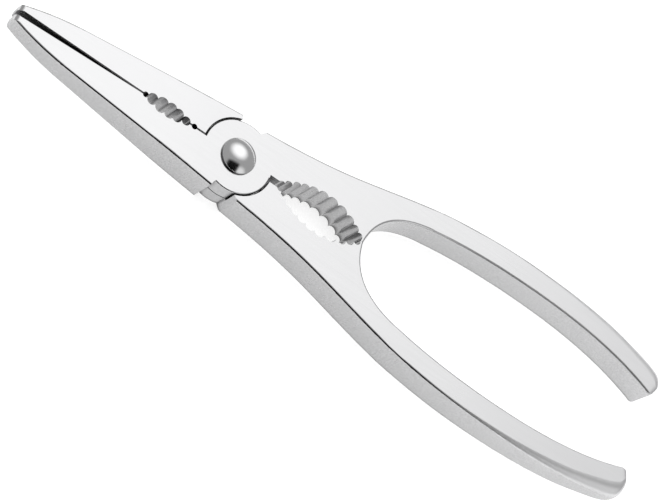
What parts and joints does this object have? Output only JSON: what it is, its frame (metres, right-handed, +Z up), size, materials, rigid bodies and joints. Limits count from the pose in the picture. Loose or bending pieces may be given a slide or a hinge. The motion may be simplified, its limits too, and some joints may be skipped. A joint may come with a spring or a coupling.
{
  "type": "lobster cracker",
  "caption": "Hand tool with slim pointed jaws, two lapped steel arms on one domed rivet, toothed openings before and behind the pivot, and a looped handle.",
  "frame": {"origin": "the rivet's axis, on the plane that the closed tool lies on", "axes": "+Z up along the rivet's axis, +X towards the handles, jaws along -X, +Y towards the upper arm's handle"},
  "size_m": [0.1995, 0.0488, 0.0115],
  "materials": {
    "arm_steel": "cast and polished, satin bright",
    "rivet_steel": "mirror polished"
  },
  "bodies": {
    "lower_arm": {"lower_arm": "arm_steel", "pivot_rivet": "rivet_steel"},
    "upper_arm": {"upper_arm": "arm_steel"}
  },
  "joints": [
    {"name": "pivot", "type": "hinge", "parent": "lower_arm", "child": "upper_arm", "pos_m": [0, 0, 0], "axis": [0, 0, 1], "range_deg": [0, 35]}
  ]
}
